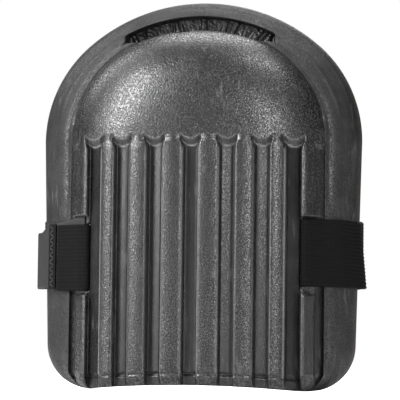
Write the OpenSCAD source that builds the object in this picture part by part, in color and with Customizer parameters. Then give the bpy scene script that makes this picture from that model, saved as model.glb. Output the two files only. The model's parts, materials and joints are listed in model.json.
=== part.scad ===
// Strap-on knee pad: a ribbed foam shell, a softer inner cushion and an elastic strap.
// Millimetres. +Z is up the leg, the front faces -Y, and +X is the right-hand side seen from the
// front. The origin is under the middle of the whole object, at the level of the bottom edge.

/* [Pad outline] */
// Width over the flange at its widest
pad_w = 182; // [150:1:210]
// Height of the pad
pad_h = 222; // [190:1:255]
// How far each side draws in from its widest level to the bottom
side_taper = 3; // [0:0.5:6]
// Radius of the two bottom corners
corner_r = 26; // [15:1:32]
// Thickness of the flange
flange_t = 11; // [8:0.5:14]

/* [Dome and ribs] */
// Radius of the dome over the rib crowns
dome_r = 86; // [80:1:102]
// Half the width of the dome where it leaves the flange
dome_half_w = 70; // [62:1:74]
// Flange left above the dome
top_flange = 16.4; // [12:0.2:22]
// Wall of the dome
wall_t = 10; // [8:0.5:12]
// Angle from one groove to the next
groove_pitch = 13.8; // [12:0.2:14.4]
// Depth of a groove
groove_depth = 5.5; // [3:0.5:6]
// Width of a groove at its floor
floor_w = 6.3; // [4:0.1:8]
// Width of a groove at the rib crowns
mouth_w = 12.7; // [9:0.1:14]
// Level at which the grooves run out into the dome
groove_top = 146; // [120:1:150]
// Height of the band that turns inwards at the bottom
hem_h = 6.5; // [3:0.5:10]

/* [Top pocket] */
// Distance from the pad's edge to the pocket
pocket_inset = 7.8; // [5:0.2:9]
// Height of the pocket
pocket_h = 6.5; // [4:0.5:7]
// Half the length of the pocket
pocket_half_l = 42; // [30:1:50]
// Depth of the pocket
pocket_d = 7; // [3:0.5:8]

/* [Cushion] */
// Thickness of the cushion in the hollow of the dome
cushion_t = 12; // [8:0.5:16]
// How far the cushion stands out behind the flange
cushion_rim = 3; // [1:0.5:6]
// How far the cushion stops short of the bottom edge
cushion_lift = 2; // [1:0.5:6]

/* [Straps] */
// Width of the elastic webbing
strap_w = 38; // [32:1:42]
// Thickness of the elastic webbing
strap_t = 1.6; // [1.2:0.1:1.8]
// Thickness of the nylon tape
tape_t = 1; // [0.8:0.1:1.1]
// Height of the straps' middle
strap_z = 78; // [66:1:92]
// Distance of the strap slots from the middle
slot_x = 58; // [56:0.5:59]
// Width of a strap slot
slot_w = 3.6; // [3.2:0.1:4]
// Radius of the strap loop's two sides
side_r = 80; // [70:1:86]
// Thickness of the hook patch
hook_t = 1; // [0.8:0.1:1.2]
// Thickness of the loop patch
loop_t = 0.8; // [0.6:0.1:1]
// Where the hook patch ends, as an angle round the left side
hook_end = 141; // [135:3:150]
// Where the loop patch ends, as an angle round the back
loop_end = 96; // [93:3:111]

/* [Hidden] */
$fn = 96;

// The pad's outline: two side arcs and a flatter top arc, which meet at arch_a.
half_w = pad_w / 2;
arch_a = 50;
arch_offset = 18.2;
arch_side_r = half_w - arch_offset;
arch_top_r = arch_side_r + arch_offset / cos(arch_a);
arch_z = pad_h - arch_top_r + arch_offset * tan(arch_a);
foot_x = half_w - side_taper - corner_r;
arc_step = 5;

// The dome: a cylinder that stands on the bottom edge, closed by a sphere.
dome_y = sqrt(dome_r * dome_r - dome_half_w * dome_half_w) - flange_t;
dome_z = pad_h - top_flange - dome_half_w;
hollow_r = dome_r - wall_t;
floor_r = dome_r - groove_depth;
glue_gap = 0.1;
beyond = 2 * dome_r;

// The straps. Each loop lies this far off the foam.
lay_gap = 0.3;
recess_h = strap_w + 9.2;
slot_h = strap_w + 5;
strap_z0 = strap_z - strap_w / 2;
strap_z1 = strap_z + strap_w / 2;
edge_x = half_w - side_taper * (arch_z - strap_z1 - 2) / (arch_z - corner_r) + lay_gap;
loop_inner_x = slot_x + strap_t + 0.6;
bar_w = edge_x - loop_inner_x;
front_y = -flange_t - lay_gap;
back_y = 0.2;
bend_r = 0.8;

// The strap loop behind the leg: side arcs, and a back arc that meets them at 60 and 120 degrees.
hinge_x = edge_x + strap_t;
hinge_y = back_y + strap_t + 0.45;
side_y = hinge_y + 5;
side_x = hinge_x - side_r;
join_a = 60;
back_r = side_r + side_x / cos(join_a);
back_arc_y = side_y - side_x * tan(join_a);
// Layers of the loop, as distances from the middle of the webbing, positive away from the leg.
strap_in = -strap_t / 2;
strap_out = strap_t / 2;
loop_face = strap_in - loop_t;
patch_gap = 0.6;
hook_face = loop_face - patch_gap;
tab_out = hook_face - hook_t;
tab_in = tab_out - tape_t;
tab_x = side_x + side_r + (tab_out + tab_in) / 2;
tab_y = back_y + tape_t + tape_t / 2 + 0.3;
tab_end = hook_end - 3;
loop_step = 3;
fold_a = 12;
hem_a = 9;
skin = 0.02;

// The parts are drawn with the flange's back plane at Y = 0, and then moved by this.
mid_y = (back_arc_y + back_r + strap_t / 2 + dome_y - dome_r) / 2;

// Stitches
thread_t = 0.3;
thread_w = 0.7;
lift = 0.04;
stitch_l = 2.2;
stitch_gap = 1.1;
stitch_a = 2.4;

// A point on a circle.
function on_circle(c, r, a) = c + r * [cos(a), sin(a)];

// Points along an arc, from angle a0 to angle a1.
function arc(c, r, a0, a1) =
    let (n = max(2, ceil(abs(a1 - a0) / arc_step)))
    [for (i = [0 : n]) on_circle(c, r, a0 + (a1 - a0) * i / n)];

// A point of the strap loop: at angle a round it, and at distance d from the webbing's middle.
function loop_at(a, d) =
    a < join_a ? on_circle([side_x, side_y], side_r + d, a)
    : a <= 180 - join_a ? on_circle([0, back_arc_y], back_r + d, a)
    : on_circle([-side_x, side_y], side_r + d, a);

// The pad's outline drawn in by d, in the XZ plane.
function outline(d) = concat(
    arc([foot_x, corner_r], corner_r - d, -90, 0),
    arc([arch_offset, arch_z], arch_side_r - d, 0, arch_a),
    arc([0, arch_z - arch_offset * tan(arch_a)], arch_top_r - d, arch_a, 180 - arch_a),
    arc([-arch_offset, arch_z], arch_side_r - d, 180 - arch_a, 180),
    arc([-foot_x, corner_r], corner_r - d, 180, 270));

// A rectangle with rounded corners, from corner p to corner q.
function round_box(p, q, r) = concat(
    arc([q.x - r, q.y - r], r, 0, 90),
    arc([p.x + r, q.y - r], r, 90, 180),
    arc([p.x + r, p.y + r], r, 180, 270),
    arc([q.x - r, p.y + r], r, 270, 360));

// Its outline in the XZ plane, standing between two levels of Y.
module plate(points, y0, y1) {
    translate([0, y1, 0]) rotate([90, 0, 0]) linear_extrude(y1 - y0) polygon(points);
}

// A box from corner p to corner q.
module block(p, q) {
    translate(p) cube(q - p);
}

// A dome of radius r about the dome's own axis, from level z0 up.
module dome(r, z0) {
    translate([0, dome_y, z0]) cylinder(r = r, h = dome_z - z0);
    translate([0, dome_y, dome_z]) sphere(r = r);
}

// Moves a part from the flange's back plane to the object's own frame.
module in_frame() {
    translate([0, -mid_y, 0]) children();
}

// Both sides of the pad.
module both_sides() {
    children();
    mirror([1, 0, 0]) children();
}

// A layer of the strap loop, from angle a0 to a1 and from distance d0 to d1.
module layer(a0, a1, d0, d1, z0, h) {
    translate([0, 0, z0]) linear_extrude(h)
        polygon(concat([for (a = [a0 : loop_step : a1]) loop_at(a, d1)],
                       [for (a = [a1 : -loop_step : a0]) loop_at(a, d0)]));
}

// One stitch on the loop at angle a and distance d, turned by t in the layer's face.
module stitch_on(a, d, z, t = 0, l = stitch_l) {
    p = loop_at(a, d);
    translate([p.x, p.y, z]) rotate([0, 0, a]) rotate([t, 0, 0])
        cube([thread_t, l, thread_w], center = true);
}

// Foam shell

module grooves() {
    intersection() {
        difference() {
            translate([0, dome_y, -1]) cylinder(r = dome_r + 6, h = groove_top + 1);
            translate([0, dome_y, -2]) cylinder(r = floor_r, h = groove_top + 4);
            translate([0, dome_y, groove_top - groove_depth])
                cylinder(r1 = floor_r, r2 = dome_r + 0.5, h = groove_depth + 0.5);
        }
        union() {
            for (k = [-4 : 4]) {
                groove(k * groove_pitch);
            }
        }
    }
}

// One groove: narrow at its floor, wide at the rib crowns, and open to the front.
module groove(a) {
    x = dome_r * sin(a);
    y_floor = dome_y - floor_r * cos(a) + 2;
    y_crown = dome_y - dome_r * cos(a) - 4;
    top = (mouth_w - floor_w) / 2 * 1.6;
    translate([0, 0, -2]) linear_extrude(groove_top + 4)
        polygon([[x - floor_w / 2, min(y_floor, -flange_t)], [x + floor_w / 2, min(y_floor, -flange_t)],
                 [x + floor_w / 2 + top, y_crown], [x - floor_w / 2 - top, y_crown]]);
}

module bottom_band() {
    difference() {
        translate([0, dome_y, -1]) cylinder(r = dome_r + 6, h = hem_h + 1);
        translate([0, dome_y, -1.01])
            cylinder(r1 = dome_r - groove_depth + 0.5, r2 = dome_r, h = hem_h + 1.02);
        block([-beyond, -flange_t, -2], [beyond, beyond, hem_h + 1]);
    }
}

module pocket() {
    intersection() {
        difference() {
            plate(outline(pocket_inset), -flange_t - 1, -flange_t + pocket_d);
            plate(outline(pocket_inset + pocket_h), -flange_t - 2, -flange_t + pocket_d + 1);
        }
        block([-pocket_half_l, -flange_t - 1, arch_z], [pocket_half_l, 0, pad_h]);
    }
}

module strap_recess() {
    z0 = strap_z - recess_h / 2;
    block([slot_x, -dome_r, z0], [half_w + 5, -flange_t, z0 + recess_h]);
    block([slot_x, -flange_t - 1, strap_z - slot_h / 2], [slot_x + slot_w, 1, strap_z + slot_h / 2]);
}

module foam_shell() {
    color("#434446") in_frame() difference() {
        union() {
            plate(outline(0), -flange_t, 0);
            intersection() {
                dome(dome_r, 0);
                plate(outline(0), -dome_r, -flange_t / 2);
            }
        }
        dome(hollow_r, -1);
        grooves();
        bottom_band();
        pocket();
        both_sides() strap_recess();
    }
}

// Cushion: it lines the hollow and stands out a little behind the flange.
module knee_cushion() {
    notch_h = slot_h + 4;
    color("#77736c") in_frame() difference() {
        intersection() {
            dome(hollow_r - glue_gap, cushion_lift);
            block([-half_w, -dome_r, 0], [half_w, cushion_rim, pad_h]);
        }
        dome(hollow_r - cushion_t, -1);
        both_sides() block([slot_x - 3, -dome_r, strap_z - notch_h / 2],
                           [half_w, dome_r, strap_z + notch_h / 2]);
    }
}

// Left strap anchor: the elastic lies over the tape in front, and under it behind.

module left_elastic() {
    x_end = -edge_x + bar_w / 4;
    y0 = front_y - tape_t - 0.1 - strap_t;
    y1 = back_y + tape_t + 0.1 + strap_t;
    color("#232323") in_frame() translate([0, 0, strap_z0 - 1.5]) linear_extrude(strap_w) difference() {
        polygon(round_box([-half_w - 5, y0], [-loop_inner_x + strap_t, y1], bend_r + strap_t));
        polygon(round_box([-half_w - 6, y0 + strap_t], [-loop_inner_x, y1 - strap_t], bend_r));
        translate([-beyond, -beyond]) square([beyond + x_end, 2 * beyond]);
    }
}

module left_tape() {
    y0 = front_y - tape_t;
    y1 = back_y + tape_t;
    color("#4d4d50") in_frame() translate([0, 0, strap_z0 + 1]) linear_extrude(strap_w) difference() {
        polygon(round_box([-edge_x - tape_t, y0], [0, y1], bend_r + tape_t));
        polygon(round_box([-edge_x, y0 + tape_t], [1, y1 - tape_t], bend_r));
        translate([-loop_inner_x - 4, -beyond]) square([beyond, beyond - flange_t / 2]);
        translate([-edge_x + bar_w * 0.55, -flange_t]) square([beyond, beyond]);
    }
}

module left_front_stitches() {
    n = 17;
    step = (strap_w - 4) / n;
    y = front_y - tape_t - thread_t / 2;
    color("#151515") in_frame() for (i = [0 : n - 1]) {
        translate([-edge_x + bar_w / 4 - 2.8, y, strap_z0 + 3.5 + (i + 0.5) * step])
            rotate([0, i % 2 == 0 ? 22 : -22, 0]) cube([4.2, thread_t, thread_w], center = true);
    }
}

module left_back_stitches() {
    y = back_y + tape_t + 0.1 + strap_t + thread_t / 2;
    n = 11;
    step = (strap_w - 4) / n;
    color("#151515") in_frame() for (x = [bar_w * 0.32, bar_w * 0.5], i = [0 : n - 1]) {
        translate([x - edge_x, y, strap_z0 + (i + 0.5) * step])
            cube([thread_w, thread_t, stitch_l], center = true);
    }
}

// The tape's free end, behind the left edge, with the hook patch on its outer side.

module hook_tab() {
    color("#3c3c3f") in_frame() union() {
        translate([-tab_x, tab_y, strap_z0]) cylinder(d = tape_t, h = strap_w);
        block([-tab_x - tape_t / 2, tab_y, strap_z0], [-tab_x + tape_t / 2, side_y + 0.5, strap_z1]);
        layer(tab_end, 180, tab_in, tab_out, strap_z0, strap_w);
    }
}

module hook_patch() {
    color("#1b1b1c") in_frame() layer(hook_end, 177, tab_out + skin, hook_face, strap_z0 + 3, strap_w - 6);
}

module hook_patch_stitches() {
    d = hook_face + thread_t / 2 + lift;
    color("#2c2c2e") in_frame() for (a = [hook_end + 2 : stitch_a : 176], z = [-1, 1]) {
        stitch_on(a, d, strap_z + z * (strap_w / 2 - 4.2));
    }
}

// Right strap: sewn round the foam beside the slot, then on behind the leg.

module right_elastic_loop() {
    color("#1c1c1c") in_frame() translate([0, 0, strap_z0 - 0.2]) linear_extrude(strap_w) difference() {
        polygon(round_box([loop_inner_x - strap_t, front_y - strap_t],
                          [edge_x + strap_t, back_y + strap_t], bend_r + strap_t));
        polygon(round_box([loop_inner_x, front_y], [edge_x, back_y], bend_r));
    }
}

module long_elastic() {
    color("#1c1c1c") in_frame() union() {
        translate([hinge_x, hinge_y, strap_z0]) cylinder(d = strap_t, h = strap_w);
        block([hinge_x - strap_t / 2, hinge_y, strap_z0], [hinge_x + strap_t / 2, side_y + 0.5, strap_z1]);
        layer(0, 180, strap_in, strap_out, strap_z0, strap_w);
        // the folded end beside the hinge, and the hem at the free end
        layer(0, fold_a, strap_in - strap_t, 0, strap_z0, strap_w);
        layer(180 - hem_a, 180, 0, strap_out + strap_t, strap_z0, strap_w);
    }
}

module right_box_stitches() {
    d = strap_in - strap_t - thread_t / 2 - lift;
    rows = 9;
    low = strap_z0 + 5;
    high = strap_z1 - 5;
    color("#2a2a2a") in_frame() {
        for (i = [0 : rows - 1], a = [1.5, fold_a - 1.5]) {
            stitch_on(a, d, low + (high - low) * (i + 0.5) / rows, 90);
        }
        for (a = [3.4 : stitch_a : fold_a - 3], z = [low - 0.6, high + 0.6]) {
            stitch_on(a, d, z);
        }
        for (i = [1 : rows - 2], s = [-1, 1]) {
            a = fold_a / 2 + s * (i - (rows - 1) / 2) * 1.0;
            stitch_on(a, d, low + (high - low) * (i + 0.5) / rows, 62 * s, 1.8);
        }
    }
}

module loop_patch() {
    color("#29292b") in_frame()
        layer(loop_end, 177, loop_face, strap_in - skin, strap_z0 + 1.5, strap_w - 3);
}

module loop_patch_stitches() {
    d = loop_face - thread_t / 2 - lift;
    color("#161616") in_frame() for (a = [loop_end + 1.5 : stitch_a : 176], z = [-1, 1]) {
        stitch_on(a, d, strap_z + z * (strap_w / 2 - 2.3));
    }
}

module strap_end_stitches() {
    d = strap_out + strap_t + thread_t / 2 + lift;
    n = 11;
    color("#2a2a2a") in_frame() for (a = [181 - hem_a, 183 - hem_a], i = [0 : n - 1]) {
        stitch_on(a, d, strap_z0 + strap_w * (i + 0.5) / n, 90);
    }
}

foam_shell();
knee_cushion();
left_elastic();
left_tape();
hook_tab();
hook_patch();
right_elastic_loop();
long_elastic();
loop_patch();
left_front_stitches();
left_back_stitches();
hook_patch_stitches();
right_box_stitches();
loop_patch_stitches();
strap_end_stitches();
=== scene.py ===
"""Looks of the strap-on knee pad: foam shell, inner cushion, elastic straps, patches and stitching.

Shapes are worked out in millimetres in the drawing frame: X to the right, Z up, and depth D
towards the front, measured from the plane behind the flange. place() turns them into metres
in the part's own frame.
"""
import json
import math

import bmesh
import bpy
import numpy as np
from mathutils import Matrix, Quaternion, Vector


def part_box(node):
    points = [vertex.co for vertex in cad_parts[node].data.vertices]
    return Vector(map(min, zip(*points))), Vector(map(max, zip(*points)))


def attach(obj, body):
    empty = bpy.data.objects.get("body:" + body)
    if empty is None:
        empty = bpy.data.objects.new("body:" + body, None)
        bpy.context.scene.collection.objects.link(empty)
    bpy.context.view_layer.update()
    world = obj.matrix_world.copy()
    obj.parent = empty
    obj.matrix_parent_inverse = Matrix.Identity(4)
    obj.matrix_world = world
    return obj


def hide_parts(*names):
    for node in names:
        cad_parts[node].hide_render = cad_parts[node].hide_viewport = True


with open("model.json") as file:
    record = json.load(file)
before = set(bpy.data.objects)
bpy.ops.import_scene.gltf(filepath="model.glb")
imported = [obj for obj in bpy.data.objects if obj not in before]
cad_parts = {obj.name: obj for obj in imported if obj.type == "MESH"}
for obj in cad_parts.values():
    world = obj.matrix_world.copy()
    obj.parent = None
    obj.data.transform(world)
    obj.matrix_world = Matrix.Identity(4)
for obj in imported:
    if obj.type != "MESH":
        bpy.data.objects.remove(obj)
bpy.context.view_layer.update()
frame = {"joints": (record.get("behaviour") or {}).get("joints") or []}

MM = 0.001
SHELL_LOW, SHELL_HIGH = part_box("foam_shell")
BACK_Y = SHELL_HIGH.y / MM            # the plane behind the flange, in the part's frame
PAD_H = (SHELL_HIGH.z - SHELL_LOW.z) / MM
HALF_W = SHELL_HIGH.x / MM            # half the pad's width
CREST = (SHELL_HIGH.y - SHELL_LOW.y) / MM         # depth of the dome at its highest
JOINTS = {j["name"]: j for j in frame["joints"]}
STRAP_Z = JOINTS["strap_swing"]["pos_m"][2] / MM  # level of the long elastic's middle
STRAP_W = 38.0         # width of the elastic and the tape
STRAP_T = 1.6          # room that one layer of the long elastic takes up
LONG_T = 1.45          # its thickness without the ribs
ELASTIC_T = 1.5        # thickness of the two short pieces of elastic
TAPE_T = 1.0
RIBS = 18              # ribs across the elastic


def hinge_axis(name):
    """Where a joint's upright axis stands: x, and y from the plane behind the flange."""
    x, y, _ = JOINTS[name]["pos_m"]
    return np.array([x / MM, y / MM - BACK_Y])


HINGE = hinge_axis("strap_swing")
TAB_HINGE = hinge_axis("tab_swing")


# ---------------------------------------------------------------- mesh helpers

def place(points):
    """(x, depth, z) in millimetres to metres in the part's frame: y is minus depth plus BACK_Y."""
    out = np.array(points, float)
    out[..., 1] = BACK_Y - out[..., 1]
    return out * MM


def smooth(t):
    """Smooth step: 3t^2 - 2t^3 of t held between 0 and 1."""
    t = np.clip(t, 0.0, 1.0)
    return t * t * (3 - 2 * t)


def spaced(*runs):
    """Levels in runs of (start, end, count), each run leaving out its own end, and the last end."""
    parts = [np.linspace(a, b, n, endpoint=False) for a, b, n in runs]
    return np.concatenate(parts + [np.array([runs[-1][1]])])


def solid(name, points, quads, fields=None, merge=True):
    """A mesh from an array of points in metres and rows of four indices. Points that coincide are
    merged, a quad with two equal corners becomes a triangle, and faces are turned outwards.
    fields are float or vector values per point."""
    flat = np.asarray(points, float).reshape(-1, 3)
    quads = np.asarray(quads, np.int64).reshape(-1, 4)
    fields = {k: np.asarray(v, float).reshape(len(flat), -1) for k, v in (fields or {}).items()}
    if merge:
        _, first, back = np.unique(np.round(flat / 2e-7).astype(np.int64), axis=0,
                                   return_index=True, return_inverse=True)
        flat, quads = flat[first], back.reshape(-1)[quads]
        fields = {k: v[first] for k, v in fields.items()}
    same = quads == np.roll(quads, -1, axis=1)
    whole = quads[~same.any(1)]
    faces = [whole]
    for k in range(4):
        some = quads[same[:, k] & (same.sum(1) == 1)]
        faces.append(np.delete(some, k, axis=1))
    mesh = bpy.data.meshes.new(name)
    mesh.from_pydata(flat, [], [row for part in faces for row in part.tolist()])
    for key, value in fields.items():
        kind = "FLOAT" if value.shape[1] == 1 else "FLOAT_VECTOR"
        layer = mesh.attributes.new(key, kind, "POINT")
        layer.data.foreach_set("value" if kind == "FLOAT" else "vector",
                               value.astype(np.float32).ravel())
    work = bmesh.new()
    work.from_mesh(mesh)
    bmesh.ops.recalc_face_normals(work, faces=work.faces)
    work.to_mesh(mesh)
    work.free()
    mesh.polygons.foreach_set("use_smooth", np.ones(len(mesh.polygons), bool))
    mesh.update()
    obj = bpy.data.objects.new(name, mesh)
    bpy.context.scene.collection.objects.link(obj)
    return obj


def grid_quads(rows, cols, wrap=False):
    """Index rows of the quads of a rows by cols grid of points; wrap closes it round its columns."""
    i, j = np.meshgrid(np.arange(rows - 1), np.arange(cols if wrap else cols - 1), indexing="ij")
    k = (j + 1) % cols
    return np.stack([i * cols + j, i * cols + k, (i + 1) * cols + k, (i + 1) * cols + j],
                    axis=-1).reshape(-1, 4)


def cap_quads(row, width, j):
    """Quads that close a row of width points, folded in half: point j is joined to its opposite."""
    b = row * width
    return np.stack([b + j, b + j + 1, b + width - 2 - j, b + width - 1 - j], -1)


def finish_piece(obj, body, slot, material, *nodes):
    """Material, body and the CAD nodes that the piece stands for. slot is not used."""
    obj.data.materials.append(material)
    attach(obj, body)
    if nodes:
        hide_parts(*nodes)
    return obj


# ---------------------------------------------------------------- pad outline

ARC_CENTRE = 18.2
ARC_Z = 142.576        # the straight sides end here
ARC_END = 50           # degrees at which the side arc meets the top arc
ARC_R = HALF_W - ARC_CENTRE
TOP_R = ARC_R + ARC_CENTRE / math.cos(math.radians(ARC_END))
TOP_Z = PAD_H - TOP_R
CORNER_R = 26.0
TAPER = 3.0
FAN_Z = 147.0          # above this level the rows fan out round the dome
DOME_Z = 135.6
DOME_EDGE = 73.0       # half the width of the raised dome and ribs
DOME_SIDE = 73.9
DOME_FLAT = 4.4
GROW = 1.4             # how far the foam swells beyond the drawn outline
ARCH = 3.0             # how far the bottom edge rises at the middle
LIP = 83.2             # column of the pocket's outer edge
RIM_LIP = 9.3          # from there to the pad's edge
POCKET_HALF = 43.6     # half the pocket's width
POCKET_R = 66.0        # radius at which lengths along the pocket are measured
POCKET_FLOOR = 6.5     # depth of its floor between the pleats
PLEAT_H = 2.9
POCKET_BACK = 3.4      # depth of the foam's inner face behind it


def half_width(z):
    """Half the pad's width at level z: a corner arc, a straight side that leans out, then an arc."""
    foot = HALF_W - TAPER
    drop = CORNER_R - np.minimum(z, CORNER_R)
    low = foot - CORNER_R + np.sqrt(np.clip(CORNER_R**2 - drop**2, 0, None))
    side = foot + TAPER * np.clip((z - CORNER_R) / (ARC_Z - CORNER_R), 0, 1)
    arc = ARC_CENTRE + np.sqrt(np.clip(ARC_R**2 - np.clip(z - ARC_Z, 0, None)**2, 0, None))
    return np.where(z < CORNER_R, low, np.where(z < ARC_Z, side, arc)) + 0 * z


def fan_reach(theta, x, z):
    """Distance from the fan's centre to the line through the points (x, z), in direction theta."""
    return np.interp(theta, np.arctan2(z - FAN_Z, x), np.hypot(x, z - FAN_Z))


def fan_radius(inset, theta):
    """Distance from the fan's centre to the outline drawn in by inset, in direction theta."""
    a = np.radians(np.linspace(0, ARC_END, 60))
    b = np.radians(np.linspace(ARC_END, 90, 60))
    x = np.concatenate([ARC_CENTRE + (ARC_R - inset) * np.cos(a), (TOP_R - inset) * np.cos(b)])
    z = np.concatenate([ARC_Z + (ARC_R - inset) * np.sin(a), TOP_Z + (TOP_R - inset) * np.sin(b)])
    return fan_reach(theta, x, z)


def dome_radius(theta):
    """Distance from the fan's centre to the dome's edge: a circle, slightly flattened at the top."""
    a = np.radians(np.linspace(0, 90, 120))
    r = DOME_SIDE - DOME_FLAT * np.sin(a)**6
    return fan_reach(theta, r * np.cos(a), DOME_Z + r * np.sin(a))


# ---------------------------------------------------------------- foam shell

FOOT = 20.0            # depth of the dome's edge
FLANGE_FOOT = 21.3     # depth of the flange beside it
RIM_T = 2.5            # thickness of the flange at its edge
GROOVES = [86 * math.sin(math.radians(13.8 * k)) for k in range(5)]
OUTER = 4              # the outermost groove is narrow and shallow
FLOOR_HALF = 3.3       # half the width of the other grooves' floors
FLOORS = [FLOOR_HALF] * OUTER + [1.9]             # half the width of each groove's floor
FLOOR_TILT = (0, 16, 21, 38)      # degrees by which the grooves' floors are turned outwards
WALL_RUN = 1.2         # how far a groove's wall leans out
GROOVE_TOP = 138.4     # level at which the grooves end, at their middles
TOP_CURVE = 0.105      # how the grooves' upper ends curve up at their sides
RIB_H = 4.7            # height of the ribs above the grooves' floors
BAND_H = 9.4           # level of the crease along the bottom, at the middle
SLOT_X = (59.9, 61.8)
SLOT_RIGHT = (STRAP_Z - 19.4, STRAP_Z + 19.2)     # foot and head of each strap slot
SLOT_LEFT = (STRAP_Z - 22.8, STRAP_Z + 15.6)
RECESS_Z = ((STRAP_Z - 24.4, STRAP_Z - 23.0), (STRAP_Z + 20.4, STRAP_Z + 20.4))   # left and right


def crown(X):
    """Depth of the dome at column X: a superellipse, flat on top and steep at its edge."""
    t = np.clip(X / DOME_EDGE, 0, 1)
    return FOOT + (CREST - FOOT) * (1 - t**2.6)**(2 / 3)


def flange(e):
    """Depth of the flange's front at distance e from the edge: a slope with a convex swell."""
    t = np.clip(e / 18.0, 0, 1)
    return RIM_T + 0.55 * e + (FLANGE_FOOT - RIM_T - 9.9) * (1 - (1 - t)**3)**0.6


def recess_floor(X):
    """Depth of the strap recess at column X: it goes on from the flange in a straight slope."""
    return FLANGE_FOOT + (DOME_EDGE - X) * 0.70


def shell_back(X):
    """Depth of the shell's inner face at column X, with a small round at the rim."""
    known = np.array([[0, 36.6], [20, 36.0], [39, 33.4], [50, 29.6], [57, 25.4], [62, 21.4], [67, 16.6],
                      [72, 11.4], [76, 7.2], [79, 4.2], [82, 1.7], [84.5, 0.4], [87, 0.0], [91, 0.0]])
    fine = np.linspace(0, HALF_W, 400)
    line = np.pad(np.interp(fine, known[:, 0], known[:, 1]), 9, mode="edge")
    bell = np.hanning(21)[1:-1]
    soft = np.convolve(line, bell / np.hanning(21).sum(), "valid")
    edge = np.clip((HALF_W - X) / 2.2, 0, 1)
    return np.interp(X, fine, soft) + 1.7 * (1 - np.sqrt(1 - (1 - edge)**2))


def groove_depth(x, z):
    """0 on the ribs and 1 on a groove's floor. The walls slope, and each groove ends at the top in
    a sloping wall whose foot curves like a smile."""
    deep = np.zeros(np.broadcast(x, z).shape)
    for k, centre in enumerate(GROOVES):
        u = np.abs(x - centre)
        flare = 0 if k == OUTER else 1.3 * smooth((z - 135.5) / 5)
        side = np.clip((FLOORS[k] + flare + WALL_RUN - u) / WALL_RUN, 0, 1)
        stop, full = GROOVE_TOP + TOP_CURVE * u**2, 1.0
        if k == OUTER:
            side = np.where(x > centre, np.clip((DOME_EDGE + 0.2 - x) / 0.7, 0, 1), side)
            stop, full = stop - 1.2, 0.15 + 0.5 * smooth((STRAP_Z - z) / 12)
        end = np.clip((stop + 2.1 - z) / 3.6, 0, 1)
        deep = np.maximum(deep, np.minimum(smooth(side * 0.9 + 0.05), end) * full)
    return deep


def rib_round(x, z):
    """The extra height of the ribs' rounded tops, which dies out above the grooves."""
    gap = np.min(np.abs(x[..., None] - np.array(GROOVES)), axis=-1)
    middle = np.clip((gap - FLOOR_HALF - WALL_RUN) / 3.2, 0, 1)
    fade = 1 - smooth((z - 134.5) / 8)
    return (1.25 * np.sqrt(1 - (1 - middle)**2) - 0.55) * fade


def shell_front(X, x, z, turn):
    """Depth of the shell's front at column X, place (x, z) and fan angle turn (0 below the fan)."""
    X, x, z, turn = np.broadcast_arrays(X, x, z, turn)
    ax = np.abs(x)
    lower = turn <= 0
    bumps = np.where(lower, groove_depth(ax, z), 0)
    depth = crown(X) + np.where(X < DOME_EDGE, rib_round(ax, z), 0) - RIB_H * bumps
    for centre, tilt in zip(GROOVES, FLOOR_TILT):
        u = ax - centre
        near = smooth((FLOOR_HALF + 0.9 - np.abs(u)) / 0.7) * (z < FAN_Z)
        rise = (crown(np.array(centre + 1.0)) - crown(np.array(centre - 1.0))) / 2
        depth = depth - (math.tan(math.radians(tilt)) + rise) * u * near * np.where(lower, bumps, 0)
    # the flange: a low ridge along the pocket's line, one near the rim, and a dip beside the dome
    tent = np.clip(1 - np.abs(X - LIP + 0.4) / 1.6, 0, 1) * 0.55
    tent = tent * smooth((turn - math.radians(2)) / 0.25) * (1 - smooth((turn - math.radians(62)) / 0.3))
    tent = tent + 0.3 * np.clip(1 - np.abs(X - 88.4) / 0.7, 0, 1) * smooth((z - 96) / 30)
    valley = 0.8 * np.exp(-((X - DOME_EDGE - 2.2) / 1.7)**2) * smooth((z - 104) / 8)
    crack = 1.1 * np.exp(-((X - DOME_EDGE - 0.5) / 0.45)**2) * smooth((z - 145) / 20)
    depth = np.where(X >= DOME_EDGE, flange(HALF_W - X) + tent - valley - crack, depth)
    # the recess of the strap, down to the level of the flange
    wall = 1.3
    inside = np.clip((ax - SLOT_X[0] + 0.9) / 0.9, 0, 1)
    low, high = (np.where(x < 0, *ends) for ends in RECESS_Z)
    inside = inside * np.clip((z - low + wall * (0.4 + 0.1 * (X - 60))) / wall, 0, 1)
    inside = inside * np.clip((high - z) / wall, 0, 1)
    inside = np.where(lower, smooth(inside), 0)
    sunk = np.minimum(recess_floor(X), depth)
    depth = np.where(X < DOME_EDGE, depth + (sunk - depth) * inside, depth)
    # the band along the bottom, below a crease, leans back
    line = BAND_H - 3.6 * np.clip(ax / 72, 0, 1.2)**2
    under = np.clip((line - z) / line, 0, 1)
    rib = np.maximum(depth - (crown(X) - RIB_H), 0)
    band = np.where(X < DOME_EDGE, rib * 0.55 + 1.2, 2.2)
    crease = np.exp(-((z - line) / 0.8)**2) * np.where(X < DOME_EDGE, 1.3, 0.5 * smooth((82 - X) / 8))
    return depth - np.where(lower, 1.0, 0.0) * (band * under**0.8 + crease)


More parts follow.
